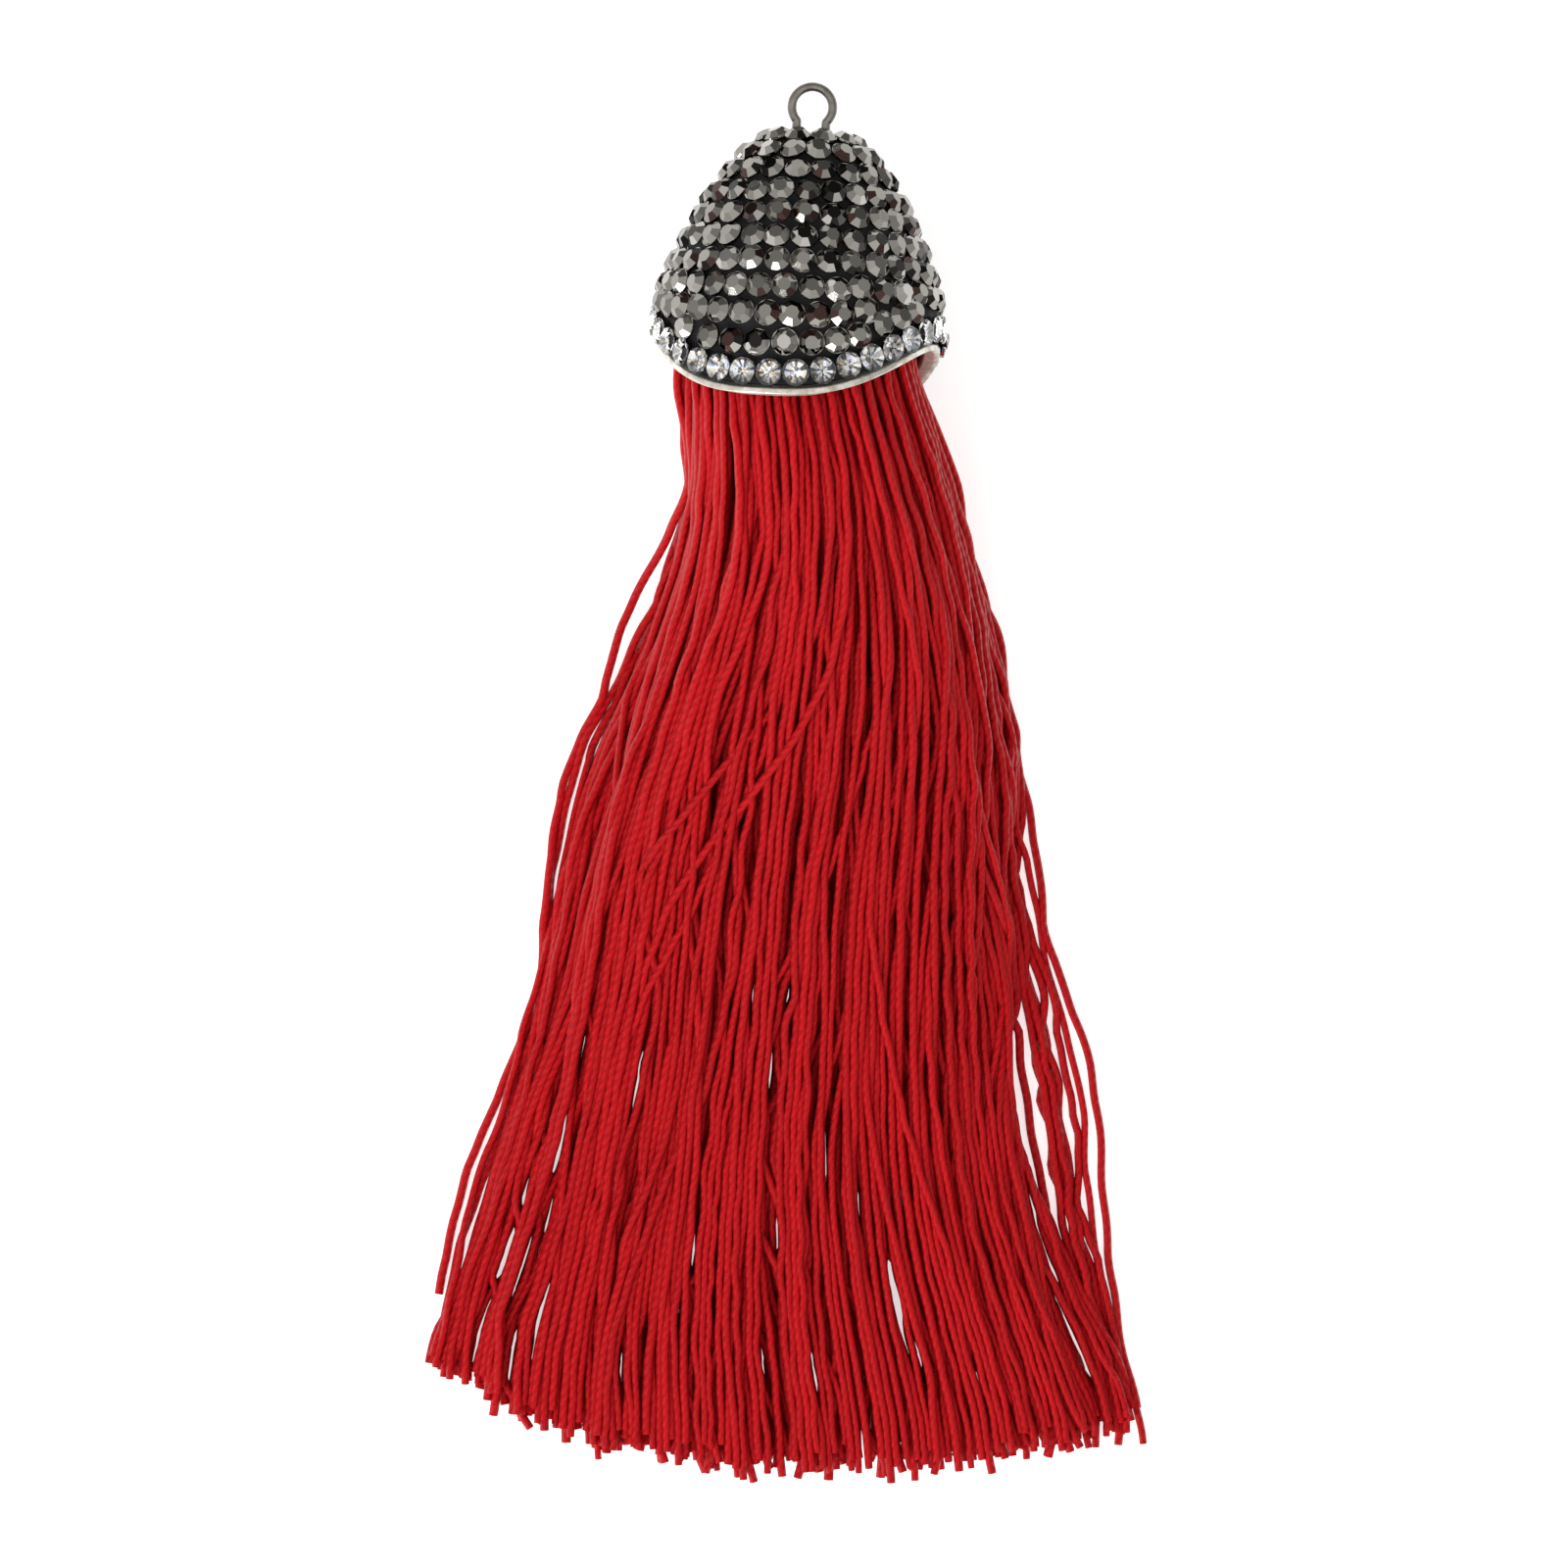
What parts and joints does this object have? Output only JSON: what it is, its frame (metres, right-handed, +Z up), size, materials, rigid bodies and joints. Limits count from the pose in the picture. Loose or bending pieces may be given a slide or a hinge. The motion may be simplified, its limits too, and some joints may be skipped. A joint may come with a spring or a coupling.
{
  "type": "jeweled tassel",
  "caption": "Long thread tassel lying flat, hung from a stone-set bell cap with a saddle-shaped metal mouth and a wire eye at the crown",
  "frame": {"origin": "the middle of the underside of the whole tassel's box, on the surface it lies on", "axes": "+Y along the tassel from the cut ends of its threads to the wire eye, +X to the right as seen from above, +Z up from the surface"},
  "size_m": [0.0608, 0.119, 0.0254],
  "materials": {
    "wire": "gunmetal plated round wire",
    "cup": "polished silver-coloured plating",
    "clay": "matt black clay set with mirror-like grey faceted stones",
    "crystal": "clear faceted crystal with a mirror back",
    "thread": "satin twisted two-ply red thread"
  },
  "bodies": {
    "root": {"wire_eye": "wire", "metal_cup": "cup", "jeweled_clay": "clay", "thread_skirt": "thread", "crystal_01": "crystal", "crystal_02": "crystal", "crystal_03": "crystal", "crystal_04": "crystal", "crystal_05": "crystal", "crystal_06": "crystal", "crystal_07": "crystal", "crystal_08": "crystal", "crystal_09": "crystal", "crystal_10": "crystal", "crystal_11": "crystal", "crystal_12": "crystal", "crystal_13": "crystal", "crystal_14": "crystal", "crystal_15": "crystal", "crystal_16": "crystal", "crystal_17": "crystal", "crystal_18": "crystal", "crystal_19": "crystal", "crystal_20": "crystal", "crystal_21": "crystal", "crystal_22": "crystal", "crystal_23": "crystal", "crystal_24": "crystal", "crystal_25": "crystal", "crystal_26": "crystal", "crystal_27": "crystal", "crystal_28": "crystal", "crystal_29": "crystal", "crystal_30": "crystal", "crystal_31": "crystal", "crystal_32": "crystal", "crystal_33": "crystal", "crystal_34": "crystal", "crystal_35": "crystal", "crystal_36": "crystal"}
  },
  "joints": []
}
